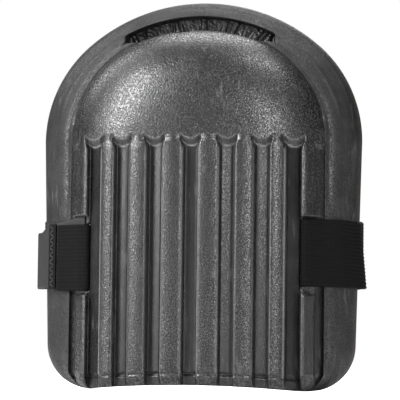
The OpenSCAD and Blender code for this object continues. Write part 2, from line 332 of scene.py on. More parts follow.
def pocket_cut(X, x, turn, arc):
    """How far the pocket is sunk at column X: flat floor with crumpled pleats across it, a steep
    outer wall and a wavy inner lip. arc runs along the pocket in millimetres. Returns the pocket's
    mask, and the pleats' height from 0 to 1."""
    run = np.clip((POCKET_HALF - np.abs(x)) / 1.4, 0, 1)
    wave = 0.7 * np.sin(arc / 5.1 + 0.6) + 0.5 * np.sin(arc / 2.3 + 1.9) + 0.35 * np.sin(arc / 8.7)
    outer = np.clip((LIP - X) / 0.9, 0, 1)
    rise = 4.6 * smooth((np.abs(x) - 32) / 12)
    inner = np.clip((X - DOME_EDGE + 0.7 - 0.35 * wave - rise) / 0.9, 0, 1)
    hole = smooth(run) * smooth(outer) * smooth(inner) * (turn > 0.5)
    warp = arc + 1.1 * np.sin(arc * 0.47 + 0.8) + 0.7 * np.sin(arc * 1.13 + 2.0)
    warp = warp + (X - 78) * 0.22 * np.sin(arc * 0.8)
    uneven = 0.66 + 0.24 * np.sin(arc * 0.36 + 1.3) + 0.10 * np.sin(X * 1.9 + arc * 1.3)
    return hole, np.abs(np.sin(warp * 0.72))**1.3 * uneven


def pad_lines(cols, levels, theta):
    """Places (x, z) and fan angles of the points where U-shaped columns, at distances cols from the
    middle line, cross the rows: levels up the right side, fan angles theta, levels down the left."""
    w = half_width(levels)[:, None] + GROW
    k1 = np.minimum(DOME_EDGE, 56 + (w - 56) * 0.62)
    k2 = w - RIM_LIP * np.minimum(1, (w - k1) / 15)
    X = cols[None, :]
    x_low = np.where(X < 56, X, np.where(X < DOME_EDGE, 56 + (X - 56) * (k1 - 56) / (DOME_EDGE - 56),
            np.where(X < LIP, k1 + (X - DOME_EDGE) * (k2 - k1) / (LIP - DOME_EDGE),
                     k2 + (X - LIP) * (w - k2) / (HALF_W - LIP))))
    z_low = np.repeat(levels[:, None], len(cols), 1)
    half = np.minimum(theta, math.pi - theta)[:, None]
    r1, r2, r3 = dome_radius(half), fan_radius(RIM_LIP - GROW, half), fan_radius(-GROW, half)
    r = np.where(X < DOME_EDGE, X * r1 / DOME_EDGE,
                 np.where(X < LIP, r1 + (X - DOME_EDGE) * (r2 - r1) / (LIP - DOME_EDGE),
                          r2 + (X - LIP) * (r3 - r2) / (HALF_W - LIP)))
    x = np.concatenate([x_low, r * np.cos(theta)[:, None], -x_low[::-1]])
    z = np.concatenate([z_low, FAN_Z + r * np.sin(theta)[:, None], z_low[::-1]])
    z = z + ARCH * np.clip(1 - (x / 62)**2, 0, 1) * np.clip(1 - z / 50, 0, 1)**1.5
    none = np.zeros(len(levels))
    turn = np.concatenate([none, half[:, 0], none])[:, None] + 0 * x
    return x, z, turn


def shell_columns():
    """Distances of the shell's columns from the middle line, close together where the front bends."""
    marks = [0.0, FLOOR_HALF * 0.5]
    for half, g in zip(FLOORS, GROOVES):
        wall = half + WALL_RUN
        steps = (1.2, half - 0.3, half + 0.1, half + 0.5, half + 0.8, half + 1.0,
                 wall + 0.1, wall + 0.5, wall + 1.0, wall + 1.7)
        marks += [g] + [g + s * d for s in (-1, 1) for d in steps]
    marks += [(a + b) / 2 for a, b in zip(GROOVES[:-1], GROOVES[1:])]
    marks += list(SLOT_X) + [SLOT_X[0] - 0.45, SLOT_X[0] - 0.9, 60.8, 63.0, 64.5]
    marks = np.array([m for m in marks if 0 <= m <= DOME_EDGE - 0.85])
    edge = [DOME_EDGE - d for d in (0.8, 0.5, 0.25, 0.05)]
    beyond = spaced((DOME_EDGE, DOME_EDGE + 1.2, 4), (DOME_EDGE + 1.2, LIP - 1.6, 12),
                    (LIP - 1.6, LIP + 1.2, 10), (LIP + 1.2, 87.4, 6), (87.4, 89.4, 6),
                    (89.4, 90.6, 5), (90.6, HALF_W, 4))
    cols = np.unique(np.round(np.concatenate([marks, edge, beyond]), 3))
    keep = np.concatenate([[True], np.diff(cols) > 0.09]) | np.isin(cols, np.round(SLOT_X, 3))
    cols = cols[keep]
    return cols[np.concatenate([np.diff(cols) > 0.03, [True]])]


def shell_levels():
    """Levels of the shell's rows below the fan, close together at the slots and the grooves' ends."""
    return np.unique(np.round(spaced(
        (0, 12, 22), (12, 20, 6), (20, 52, 12), (52, 54.4, 3), (54.4, SLOT_LEFT[0], 6),
        (SLOT_LEFT[0], SLOT_RIGHT[0], 2), (SLOT_RIGHT[0], SLOT_LEFT[1], 22),
        (SLOT_LEFT[1], SLOT_RIGHT[1], 2), (SLOT_RIGHT[1], 102, 8), (102, 106, 3), (106, 134, 10),
        (134, 136, 2), (136, 145, 28), (145, FAN_Z, 2)), 4))


def groove_painted_highlight(x, z):
    """Painted highlights along the grooves' upper edges, where light catches them: a narrow bell along each
    upper edge, strongest on the inner edges of the outer grooves, and a bell with a fading tail round each
    upper end, which lightens its lip and sloping end wall."""
    painted_highlight = np.zeros(x.shape)
    for k, inner, outer in ((0, 0.0, 0.8), (1, 0.7, 0.3), (2, 0.35, 0.35), (3, 1.0, 0.3)):
        for side, share in ((-1, inner), (1, outer)):
            line = GROOVES[k] + side * (FLOOR_HALF + WALL_RUN + 0.15)
            painted_highlight = painted_highlight + share * np.exp(-((np.abs(x) - line) / 0.4)**2)
    painted_highlight = painted_highlight * smooth((137 - z) / 3) * smooth((z - 6) / 4)
    for centre in GROOVES[:OUTER]:
        u = np.abs(np.abs(x) - centre)
        foot = GROOVE_TOP - 1.5 + TOP_CURVE * u**2
        lip = 0.9 * np.exp(-((z - foot) / 0.5)**2) + 0.3 * (z > foot) * (z < foot + 4.2)
        painted_highlight = np.maximum(painted_highlight, lip * smooth((FLOOR_HALF + 2.2 - u) / 1.2))
    return painted_highlight


def shell_fields(X, x, z, turn, hole, pleat):
    """Values that the foam's material reads, for the front's points and then the back's."""
    def both(front, back):
        return np.concatenate([front, back[:, ::-1]], 1)

    none = np.zeros(x.shape)
    ribs = np.where(turn <= 0, groove_depth(np.abs(x), z), 0)
    grain = np.where(X < DOME_EDGE - 0.1, 1 - 0.75 * ribs,
                     0.12 + 0.5 * smooth((84 - X) / 9) * smooth((165 - z) / 40))
    edge = np.clip(smooth((X - 89.0) / 1.8) + smooth((1.6 - z) / 1.4), 0, 1)
    # Two of these are painted light: highlights along the grooves' edges and upper ends, and shade down in
    # the pocket, less on the pleats' tops.
    return {"grain": both(grain * (1 - 0.75 * hole), none + 0.3),
            "painted_highlight": both(groove_painted_highlight(x, z) * (turn <= 0), none),
            "matt": both(smooth((X - DOME_EDGE + 0.5) / 2) * (1 - hole), none),
            "edge": both(edge, edge),
            "pocket": both(hole * (1 - 0.75 * pleat), none)}


def foam_shell():
    """The pad's foam shell. Columns are U-shaped lines: up one side of the pad, round the dome and
    down the other. X is a column's distance from the middle line. Rows cross them."""
    cols, levels = shell_columns(), shell_levels()
    theta = spaced((0, 50, 36), (50, 90, 84))[1:]
    theta = np.radians(np.concatenate([theta, 180 - theta[-2::-1]]))
    x, z, turn = pad_lines(cols, levels, theta)
    X = cols[None, :]
    front = shell_front(X, x, z, turn)
    back = np.repeat(shell_back(cols)[None, :], len(x), 0)

    ends = np.zeros(len(levels))
    arc = (math.pi / 2 - np.concatenate([ends, theta, ends + math.pi])[:, None]) * POCKET_R + 0 * x
    hole, pleat = pocket_cut(X, x, turn, arc)
    front = front + (POCKET_FLOOR + PLEAT_H * pleat - front) * hole
    back = back + np.minimum(0, POCKET_BACK - back) * hole
    # the lip of the pocket is slightly proud
    lip = np.exp(-((X - DOME_EDGE + 1.4) / 1.3)**2) * smooth((44 - np.abs(x)) / 4) * (turn > 0.5)
    front = front + 0.5 * lip

    rows, n = x.shape
    full = 2 * n
    points = np.concatenate([np.stack([x, front, z], -1), np.stack([x, back, z], -1)[:, ::-1]], 1)
    quads = grid_quads(rows, full).reshape(rows - 1, full - 1, 4)
    # the strap slots: the same cells are left out in front and behind, and walls join them
    c0, c1 = np.searchsorted(cols, np.array(SLOT_X) - 1e-3)
    r0, r1 = np.searchsorted(levels, np.array(SLOT_RIGHT) - 1e-3)
    l0, l1 = np.searchsorted(levels, np.array(SLOT_LEFT) - 1e-3)
    open_cell = np.zeros((rows - 1, full - 1), bool)
    walls = []
    for a, b in ((r0, r1), (rows - 1 - l1, rows - 1 - l0)):
        open_cell[a:b, c0:c1] = True
        open_cell[a:b, full - 1 - c1:full - 1 - c0] = True
        i = np.arange(a, b)
        for c in (c0, c1):
            walls.append(np.stack([i * full + c, (i + 1) * full + c,
                                   (i + 1) * full + full - 1 - c, i * full + full - 1 - c], -1))
        walls += [cap_quads(row, full, np.arange(c0, c1)) for row in (a, b)]
    walls += [cap_quads(row, full, np.arange(n - 1)) for row in (0, rows - 1)]
    quads = np.concatenate([quads[~open_cell]] + walls)
    return solid("shell", place(points), quads, shell_fields(X, x, z, turn, hole, pleat))


# ---------------------------------------------------------------- inner cushion

def flow(points, step=1.0, closed=False):
    """A smooth curve through control points: cubic pieces whose slopes come from the neighbouring
    points, resampled at equal steps of arc length."""
    p = np.asarray(points, float)
    ends = [p[-1], p[0], p[1]] if closed else [2 * p[0] - p[1], 2 * p[-1] - p[-2]]
    q = np.concatenate([[ends[0]], p, ends[1:]])
    t = np.linspace(0, 1, 24, endpoint=False)[:, None, None]
    a, b, c, d = q[:-3], q[1:-2], q[2:-1], q[3:]
    line = 0.5 * (2 * b + (c - a) * t + (2 * a - 5 * b + 4 * c - d) * t**2 + (3 * b - a - 3 * c + d) * t**3)
    line = line.transpose(1, 0, 2).reshape(-1, p.shape[1])
    line = np.concatenate([line, p[:1] if closed else p[-1:]])
    run = np.concatenate([[0], np.cumsum(np.linalg.norm(np.diff(line[:, :2], axis=0), axis=1))])
    s = np.linspace(0, run[-1], max(4, int(round(run[-1] / step))) + 1)
    return np.stack([np.interp(s, run, line[:, k]) for k in range(p.shape[1])], -1)


def knee_cushion():
    """The soft foam that lines the hollow. Its section runs from the crest of the outer face down
    to a rounded rim behind the flange, and back up the hollow to the crest of the inner face."""
    X = np.array([0, 8, 16, 24, 32, 40, 47, 53, 58, 62, 65.0])
    outer = np.stack([X, shell_back(X) - 0.25], -1)
    rim = np.array([[67.6, 14.5], [68.6, 8.5], [68.4, 3.0], [66.4, -1.2], [62.6, -3.0]])
    inner = np.array([[58.2, -1.9], [54.8, 2.2], [51.6, 7.4], [47.2, 12.8], [41, 17.6], [33, 21.0],
                      [25, 23.1], [17, 24.2], [9, 24.8], [0, 25.0]])
    section = flow(np.concatenate([outer, rim, inner]), 1.9)
    section[0, 0] = section[-1, 0] = 0
    levels = spaced((2.0, 5, 5), (5, 50, 16), (50, 56, 6), (56, 60, 3), (60, 96, 10), (96, 100, 3),
                    (100, 106, 6), (106, FAN_Z, 14))
    theta = np.radians(spaced((0, 180, 72)))[1:-1]
    x, z, turn = pad_lines(section[:, 0], levels, theta)
    depth = np.repeat(section[None, :, 1], len(x), 0)
    # the rim draws in beside the strap slots, and the bottom edge is rounded
    pull = smooth((z - 51) / 4) * smooth((105 - z) / 4) * (turn <= 0)
    x = x * (1 - 0.165 * pull * smooth((np.abs(x) - 42) / 14))
    soft = np.clip((5.5 - z) / 3.5, 0, 1) * (turn <= 0)
    middle = (shell_back(np.minimum(section[:, 0], 60)) + 18 - 0.2 * section[:, 0]) / 2
    depth = depth + (middle[None, :] - depth) * 0.16 * soft**2
    # shallow waves of the foam, on the leg's side only
    n = len(section)
    seat = np.arange(n) - 16
    wave = 0.35 * np.sin(x / 9.0 + 0.7) * np.sin(z / 11.0 + 0.3) * smooth(seat / 6)[None, :]
    ends = [cap_quads(row, n, np.arange((n - 1) // 2)) for row in (0, len(x) - 1)]
    return solid("cushion", place(np.stack([x, depth + wave, z], -1)),
                 np.concatenate([grid_quads(len(x), n)] + ends))


# ---------------------------------------------------------------- straps

def webbing(name, path, width, thick, ribs=0, rib_h=0.2, closed=False, lean=None, share=None,
            across=21):
    """A strip of webbing along path, an array of (x, depth, level of its middle). Its section is a
    flat loop: outer face, thin edge, inner face, thin edge. Each face carries ribs along its length
    that follow a cosine. lean shifts x along the width, in millimetres at the lower edge, share
    scales the width along the path, and across is the number of points over a face without ribs."""
    path = np.asarray(path, float)
    n = len(path)
    flat = path[:, :2]
    tangent = (np.roll(flat, -1, 0) - np.roll(flat, 1, 0)) if closed else np.gradient(flat, axis=0)
    tangent /= np.linalg.norm(tangent, axis=1)[:, None] + 1e-12
    normal = np.stack([-tangent[:, 1], tangent[:, 0]], -1)
    m = ribs * 4 + 1 if ribs else across
    v = np.linspace(-1, 1, m)
    taper = np.clip((1 - np.abs(v)) * width / 2 / 0.7, 0, 1)
    half = thick / 2 * (0.35 + 0.65 * np.sqrt(1 - (1 - taper)**2))
    if ribs:
        half = half + rib_h * 0.5 * np.cos(math.pi * ribs * (v + 1) + math.pi)
    offset = np.concatenate([half, -half[::-1]])
    level = np.concatenate([v, v[::-1]]) * width / 2
    points = np.zeros((n, 2 * m, 3))
    points[..., :2] = flat[:, None, :] + normal[:, None, :] * offset[None, :, None]
    points[..., 2] = path[:, 2][:, None] + level[None, :] * (1 if share is None else share[:, None])
    if lean is not None:
        points[..., 0] -= lean[:, None] * level[None, :] / (width / 2)
    run = np.concatenate([[0], np.cumsum(np.linalg.norm(np.diff(flat, axis=0), axis=1))])
    lay = np.zeros((n, 2 * m, 3))
    lay[..., 0] = run[:, None]
    lay[..., 1] = level[None, :]
    quads = [grid_quads(n, 2 * m, wrap=True)]
    if closed:
        j = np.arange(2 * m)
        k = (j + 1) % (2 * m)
        last = (n - 1) * 2 * m
        quads.append(np.stack([last + j, last + k, k, j], -1))
    else:
        quads += [cap_quads(row, 2 * m, np.arange(m - 1)) for row in (0, n - 1)]
    return solid(name, place(points), np.concatenate(quads), {"lay": lay}, merge=False)


def wing(X):
    """Depth of the pad's front at column X inside the strap's recess and on the flange."""
    return np.where(X < DOME_EDGE, recess_floor(X), flange(HALF_W - X))


def on_wing(xs, gap):
    """Points a distance gap off the front of the wing, at places xs (the flange is narrower here)."""
    xs = np.asarray(xs, float)
    edge = float(half_width(np.array([STRAP_Z]))[0]) + GROW
    wide = (HALF_W - DOME_EDGE) / (edge - DOME_EDGE)
    X = np.where(xs < DOME_EDGE, xs, DOME_EDGE + (xs - DOME_EDGE) * wide)
    slope = (wing(X + 0.2) - wing(X - 0.2)) / 0.4
    size = np.sqrt(1 + slope**2)
    return np.stack([xs - slope / size * gap, wing(X) + gap / size], -1)


def behind_wing(xs, gap):
    """Points a distance gap off the back of the wing, at places xs."""
    xs = np.asarray(xs, float)
    d = shell_back(xs)
    slope = (shell_back(xs + 0.2) - shell_back(xs - 0.2)) / 0.4
    size = np.sqrt(1 + slope**2)
    return np.stack([xs + slope / size * gap, d - gap / size], -1)


def with_level(points, level):
    """Adds the level of the webbing's middle to points of a path."""
    points = np.asarray(points, float)
    return np.concatenate([points, np.broadcast_to(np.asarray(level, float), (len(points),))[:, None]], 1)


LOOP_R = 80.0
SIDE_X = HINGE[0] - LOOP_R
SIDE_Y = HINGE[1] + 5
JOIN = math.radians(60)
BACK_R = LOOP_R + SIDE_X / math.cos(JOIN)
BACK_C = SIDE_Y - SIDE_X * math.tan(JOIN)


def on_loop(a, d):
    """(x, depth) on the strap loop behind the leg at angle a in degrees, d off the webbing's middle:
    two side arcs and a back arc that meets them smoothly."""
    a, d = np.broadcast_arrays(np.radians(np.asarray(a, float)), np.asarray(d, float))
    right, left = a < JOIN, a > math.pi - JOIN
    cx = np.where(right, SIDE_X, np.where(left, -SIDE_X, 0))
    cy = np.where(right | left, SIDE_Y, BACK_C)
    r = np.where(right | left, LOOP_R, BACK_R) + d
    return np.stack([cx + r * np.cos(a), -(cy + r * np.sin(a))], -1)


LEFT_ELASTIC_Z = STRAP_Z - 3.6        # middle levels of the left elastic and the sewn fold
LEFT_FOLD_Z = STRAP_Z - 2.6
RIGHT_RIB_H, LEFT_RIB_H, LONG_RIB_H = 0.40, 0.45, 0.16


def right_loop():
    """The right-hand end of the long elastic: through the slot, round the foam and sewn to itself."""
    front = on_wing([63.6, 67, 70.5, 74, 78, 82, 85.5], 1.15)
    back = behind_wing([84, 80, 76, 72, 68, 64.5], 1.2)
    turn_out = [[88.6, 10.4], [91.0, 7.4], [92.7, 4.0], [92.9, 1.0], [91.9, -1.3], [89.6, -2.0]]
    through = [[61.3, 21.6], [60.75, 23.2], [60.75, 26.6], [61.2, 29.6]]
    path = flow(np.concatenate([front, turn_out, back, through]), 1.0, closed=True)[:-1]
    out = smooth((path[:, 0] - 84) / 7) * smooth((path[:, 1] + 2.2) / 4)
    level = STRAP_Z - 0.2 - 0.5 * smooth((path[:, 0] - 78) / 14)
    return webbing("right_elastic_loop_web", with_level(path, level), STRAP_W, ELASTIC_T, ribs=RIBS,
                   rib_h=RIGHT_RIB_H, closed=True, lean=1.7 * out)


def mirror_x(points):
    """The same points on the pad's left side."""
    out = np.array(points, float)
    out[:, 0] *= -1
    return out


def left_elastic_path():
    """From its cut end in front, through the slot and out again behind the foam."""
    front = on_wing([79.0, 77, 74, 71, 67.5, 64], 2.35)
    back = behind_wing([64.5, 68, 72, 76, 80, 82.6], 2.2)
    through = [[61.2, 30.2], [60.7, 27.4], [60.7, 23.4], [61.3, 20.9]]
    return flow(mirror_x(np.concatenate([front, through, back])), 1.0)


def left_elastic():
    """The short ribbed elastic in the left slot."""
    path = with_level(left_elastic_path(), LEFT_ELASTIC_Z)
    return webbing("left_elastic_web", path, STRAP_W - 0.4, ELASTIC_T, ribs=RIBS, rib_h=LEFT_RIB_H)


def left_tape():
    """Under the elastic in front, out round the foam's edge in a loose fold, and back behind it. The
    tape slants down towards the edge and is drawn together in the fold."""
    front = on_wing([62.3, 67, 71, 75, 79, 83, 86.2], 0.95)
    fold = [[88.4, 10.9], [89.9, 9.3], [92.2, 6.2], [94.5, 2.9], [96.0, 0.3], [96.1, -1.3],
            [94.9, -2.5], [92.0, -2.9], [88.6, -2.4]]
    back = behind_wing([85, 81.5, 78, 75], 0.9)
    path = flow(mirror_x(np.concatenate([front, fold, back])), 0.8)
    inward, out = smooth((-path[:, 0] - 64) / 20), smooth((-path[:, 0] - 86.5) / 7)
    path = with_level(path, STRAP_Z + 1.0 - 3.0 * inward - 2.6 * out)
    return webbing("left_tape_web", path, STRAP_W - 1.0, TAPE_T, across=31, share=1 - 0.12 * out)


def left_fold_path():
    """The narrow fold of tape that is sewn down beside the end of the left elastic."""
    return flow(mirror_x(on_wing([80.7, 82.2, 83.7, 85.0], 2.1)), 0.4)


def hook_tab():
    """The tape's free end: round the hinge, straight back, then along the inside of the loop."""
    x, y = TAB_HINGE
    lead = np.array([[x - 0.1, -y + 0.4], [x, -y - 1.5], [x, -SIDE_Y]])
    path = flow(np.concatenate([lead, on_loop(np.linspace(180, 138, 40), -3.7)[1:]]), 1.0)
    return webbing("hook_tab_tape", with_level(path, STRAP_Z), STRAP_W, TAPE_T, across=31)


def long_elastic():
    """The strap behind the leg, with the sewn fold beside the hinge and the hem at its free end."""
    x, y = HINGE
    fold = on_loop(np.linspace(12, 1, 10), -STRAP_T - 0.05)
    turn_in = [[x - 1.65, -y - 1.2], [x - 1.35, -y - 0.2], [x - 0.75, -y + 0.35],
               [x - 0.15, -y - 0.2], [x, -y - 1.2]]
    main = on_loop(np.linspace(1, 179, 150), 0)
    hem_turn = [[-x - 0.05, -SIDE_Y + 0.5], [-x - 0.85, -SIDE_Y + 1.3], [-x - 1.6, -SIDE_Y + 0.5]]
    hem = on_loop(np.linspace(179.2, 171, 9), STRAP_T + 0.05)
    path = flow(np.concatenate([fold, turn_in, main, hem_turn, hem]), 1.15)
    return webbing("long_elastic_web", with_level(path, STRAP_Z), STRAP_W, LONG_T, ribs=RIBS,
                   rib_h=LONG_RIB_H)


def patch(name, a0, a1, d, thick, width):
    """A flat patch on the loop, from angle a0 to a1 with its middle at distance d."""
    path = on_loop(np.linspace(a0, a1, int((a1 - a0) * 1.2)), d)
    return webbing(name, with_level(path, STRAP_Z), width, thick, across=33)


# ---------------------------------------------------------------- stitches

def stitches(name, middle, along, out, length=2.2, wide=0.62, high=0.42):
    """Short rounded threads: each is a superellipsoid with its long axis along the seam, from arrays
    of middles, directions and outward normals, in millimetres."""
    middle, along, out = (np.asarray(v, float).reshape(-1, 3) for v in (middle, along, out))
    along /= np.linalg.norm(along, axis=1)[:, None]
    out /= np.linalg.norm(out, axis=1)[:, None]
    rings, sides = 7, 8
    lat = np.linspace(0, math.pi, rings)
    lon = np.linspace(0, 2 * math.pi, sides, endpoint=False)
    u = np.sign(np.cos(lat)) * np.abs(np.cos(lat))**0.8
    r = np.sin(lat)[:, None]**0.55
    r[[0, -1]] = 0
    shape = np.stack([np.broadcast_to(u[:, None], (rings, sides)), r * np.cos(lon), r * np.sin(lon)], -1)
    shape = shape * np.array([length / 2, wide / 2, high / 2])
    axes = np.stack([along, np.cross(along, out), out], 1)
    points = middle[:, None, None, :] + np.einsum("abk,nkc->nabc", shape, axes)
    for end in (0, -1):
        points[:, end] = points[:, end].mean(1, keepdims=True)
    one = grid_quads(rings, sides, wrap=True)
    every = (one[None] + rings * sides * np.arange(len(middle))[:, None, None]).reshape(-1, 4)
    return solid(name, place(points), every, {"lay": np.broadcast_to(shape, points.shape)})


BOX_D = -2.45          # the box seam lies on the inner side of the folded strap


def seam_on_loop(angles, levels, d, across=False, tilt=0.0, face=1):
    """Middles, directions and normals of stitches on the strap loop. They run along the strap,
    across it, or tilted by so many degrees; face -1 turns the normals round."""
    angles, levels = (v.ravel() for v in np.broadcast_arrays(np.asarray(angles, float),
                                                             np.asarray(levels, float)))
    p = on_loop(angles, d)
    t = on_loop(angles + 0.5, d) - p
    t /= np.linalg.norm(t, axis=1)[:, None]
    turn = math.radians(90 if across else tilt)
    along = np.concatenate([t, np.zeros((len(p), 1))], 1) * math.cos(turn)
    direction = along + np.array([0.0, 0.0, 1.0]) * math.sin(turn)
    out = face * np.stack([-t[:, 1], t[:, 0], 0 * angles], -1)
    return np.concatenate([p, levels[:, None]], 1), direction, out


def upright_row(path, share, levels, lift, face):
    """Middles and normals of a row of stitches up a strip, at a share of its path's length, and the
    path's direction there. They lie lift off the strip's middle, in front (face 1) or behind (-1)."""
    flat = path[:, :2]
    run = np.concatenate([[0], np.cumsum(np.linalg.norm(np.diff(flat, axis=0), axis=1))])
    slope = np.gradient(flat, axis=0)
    spot, way = (np.array([np.interp(share * run[-1], run, v[:, k]) for k in range(2)])
                 for v in (flat, slope))
    way /= np.linalg.norm(way)
    normal = np.array([-way[1], way[0]])
    normal = normal * (face if normal[1] > 0 else -face)
    middle = np.concatenate([np.tile(spot + normal * lift, (len(levels), 1)), levels[:, None]], 1)
    return middle, np.tile([*normal, 0.0], (len(levels), 1)), np.array([*way, 0.0])


def zigzag_seam():
    """The seam up the sewn fold, whose stitches lean one way and the other in turn."""
    levels = LEFT_FOLD_Z + np.linspace(-16.5, 16.5, 17)
    middle, out, way = upright_row(left_fold_path(), 0.5, levels, 0.62, 1)
    lean = np.where(np.arange(len(levels)) % 2 == 0, 0.55, -0.55)[:, None]
    return middle, way + lean * np.array([0, 0, 1.0]), out


def left_back_seam():
    """Two upright rows through the left elastic and the tape, behind the foam."""
    levels = LEFT_ELASTIC_Z + np.linspace(-16, 16, 11)
    rows = [upright_row(left_elastic_path(), share, levels, 0.85, -1) for share in (0.80, 0.90)]
    middle, out = (np.concatenate([row[k] for row in rows]) for k in (0, 1))
    return middle, np.tile([0.0, 0.0, 1.0], (len(middle), 1)), out


def box_seam():
    """A crossed box through the fold of the long elastic: two rows across, two along, two tilted."""
    levels = STRAP_Z - 14 + 28 * (np.arange(9) + 0.5) / 9
    inner = np.arange(1, 8)
    rows = [seam_on_loop(np.array([1.5, 10.5])[:, None], levels, BOX_D, across=True, face=-1),
            seam_on_loop(np.arange(3.4, 9.2, 1.9)[:, None], STRAP_Z + np.array([-14.6, 14.6]), BOX_D,
                         face=-1)]
    rows += [seam_on_loop(6 + s * (inner - 4) * 1.0, levels[inner], BOX_D, tilt=62 * s, face=-1)
             for s in (-1, 1)]
    return [np.concatenate(part) for part in zip(*rows)]


# ---------------------------------------------------------------- materials

def group(name, inputs, outputs):
    """An empty shader node group with named sockets; returns its tree, input node and output node."""
    tree = bpy.data.node_groups.new(name, "ShaderNodeTree")
    for key, kind, value in inputs:
        item = tree.interface.new_socket(name=key, in_out="INPUT", socket_type=kind)
        if value is not None:
            item.default_value = value
    for key, kind in outputs:
        tree.interface.new_socket(name=key, in_out="OUTPUT", socket_type=kind)
    return tree, tree.nodes.new("NodeGroupInput"), tree.nodes.new("NodeGroupOutput")


def feed(tree, socket, value):
    """Links a socket to an input, or sets the input to a plain value."""
    if isinstance(value, bpy.types.NodeSocket):
        tree.links.new(value, socket)
    else:
        socket.default_value = value


def node(tree, kind, inputs=None, **settings):
    """A node with its settings, and with its inputs given as values or as sockets to link from."""
    made = tree.nodes.new(kind)
    for key, value in settings.items():
        setattr(made, key, value)
    for key, value in (inputs or {}).items():
        feed(tree, made.inputs[key], value)
    return made


def maths(tree, operation, a, b=None, clamp=False):
    """The result of a Math node on values or sockets."""
    made = node(tree, "ShaderNodeMath", operation=operation, use_clamp=clamp)
    feed(tree, made.inputs[0], a)
    if b is not None:
        feed(tree, made.inputs[1], b)
    return made.outputs[0]


def plus(tree, a, b, clamp=False):
    """a + b."""
    return maths(tree, "ADD", a, b, clamp)


def times(tree, a, b):
    """a times b."""
    return maths(tree, "MULTIPLY", a, b)


def sine(tree, turn):
    """A sine wave of turn, in radians, held between 0 and 1."""
    return plus(tree, times(tree, maths(tree, "SINE", turn), 0.5), 0.5)


def ramp(tree, value, low, high, bottom=0.0, top=1.0):
    """value mapped from low..high to bottom..top and held there."""
    made = node(tree, "ShaderNodeMapRange", {"Value": value, "From Min": low, "From Max": high,
                                            "To Min": bottom, "To Max": top})
    return made.outputs["Result"]


def blend_colour(tree, factor, a, b):
    """Colour a turning to colour b as factor goes from 0 to 1."""
    made = node(tree, "ShaderNodeMix", data_type="RGBA")
    for key, value in ((0, factor), (6, a), (7, b)):
        feed(tree, made.inputs[key], (*value, 1) if isinstance(value, tuple) else value)
    return made.outputs[2]


def pebble_group():
    """Moulded pebble grain: rounded cells with fine grit between them, and a slow mottle."""
    tree, given, out = group("pebble_grain", [("Vector", "NodeSocketVector", None),
                                              ("Size", "NodeSocketFloat", 900.0)],
                             [("Height", "NodeSocketFloat"), ("Grit", "NodeSocketFloat"),
                              ("Mottle", "NodeSocketFloat")])
    spot, size = given.outputs["Vector"], given.outputs["Size"]
    cells = node(tree, "ShaderNodeTexVoronoi", {"Vector": spot, "Scale": size})
    grit = node(tree, "ShaderNodeTexNoise", {"Vector": spot, "Scale": times(tree, size, 1.3), "Detail": 2.5,
                                            "Roughness": 0.62})
    slow = node(tree, "ShaderNodeTexNoise", {"Vector": spot, "Scale": 95.0, "Detail": 3.0})
    dome = maths(tree, "SUBTRACT", 1.0, cells.outputs["Distance"])
    height = plus(tree, times(tree, dome, 0.55), times(tree, grit.outputs[0], 0.75))
    tree.links.new(height, out.inputs["Height"])
    tree.links.new(grit.outputs[0], out.inputs["Grit"])
    tree.links.new(slow.outputs[0], out.inputs["Mottle"])
    return tree


def weave_group():
    """Woven face: threads across the strip, a slight twill slant, and fuzz. Lay is (along, across)
    in millimetres."""
    tree, given, out = group("woven_face", [("Lay", "NodeSocketVector", None),
                                            ("Pitch", "NodeSocketFloat", 0.9),
                                            ("Slant", "NodeSocketFloat", 0.5),
                                            ("Fuzz", "NodeSocketFloat", 0.3)],
                             [("Height", "NodeSocketFloat"), ("Thread", "NodeSocketFloat"),
                              ("Lint", "NodeSocketFloat")])
    lay = given.outputs["Lay"]
    split = node(tree, "ShaderNodeSeparateXYZ", {"Vector": lay})
    along = plus(tree, split.outputs[0], times(tree, split.outputs[1], given.outputs["Slant"]))
    turn = maths(tree, "DIVIDE", times(tree, along, 2 * math.pi), given.outputs["Pitch"])
    wave = sine(tree, turn)
    cross = maths(tree, "SINE", times(tree, split.outputs[1], 2 * math.pi / 0.7))
    both = plus(tree, wave, times(tree, cross, 0.22))
    fuzz = node(tree, "ShaderNodeTexNoise", {"Vector": lay, "Scale": 3.2, "Detail": 4.0, "Roughness": 0.7})
    height = plus(tree, both, times(tree, fuzz.outputs[0], given.outputs["Fuzz"]))
    lint = node(tree, "ShaderNodeTexNoise", {"Vector": lay, "Scale": 1.1, "Detail": 5.0, "Roughness": 0.75})
    tree.links.new(height, out.inputs["Height"])
    tree.links.new(wave, out.inputs["Thread"])
    tree.links.new(ramp(tree, lint.outputs[0], 0.62, 0.72), out.inputs["Lint"])
    return tree


def worn_group():
    """Scuffs: broad faint patches and short scratches along one direction."""
    tree, given, out = group("scuffs", [("Vector", "NodeSocketVector", None)], [("Mask", "NodeSocketFloat")])
    spot = given.outputs["Vector"]
    long = node(tree, "ShaderNodeMapping", {"Vector": spot, "Scale": (1.0, 1.0, 0.16)})
    streak = node(tree, "ShaderNodeTexNoise", {"Vector": long.outputs[0], "Scale": 420.0, "Detail": 4.0})
    broad = node(tree, "ShaderNodeTexNoise", {"Vector": spot, "Scale": 38.0, "Detail": 2.0})
    mask = times(tree, ramp(tree, streak.outputs[0], 0.56, 0.68), ramp(tree, broad.outputs[0], 0.46, 0.62))
    tree.links.new(mask, out.inputs["Mask"])
    return tree


FOAM_DARK = (0.0008, 0.0008, 0.0009)
FOAM_LIGHT = (0.095, 0.095, 0.0955)
FOAM_SCUFF = (0.12, 0.12, 0.122)
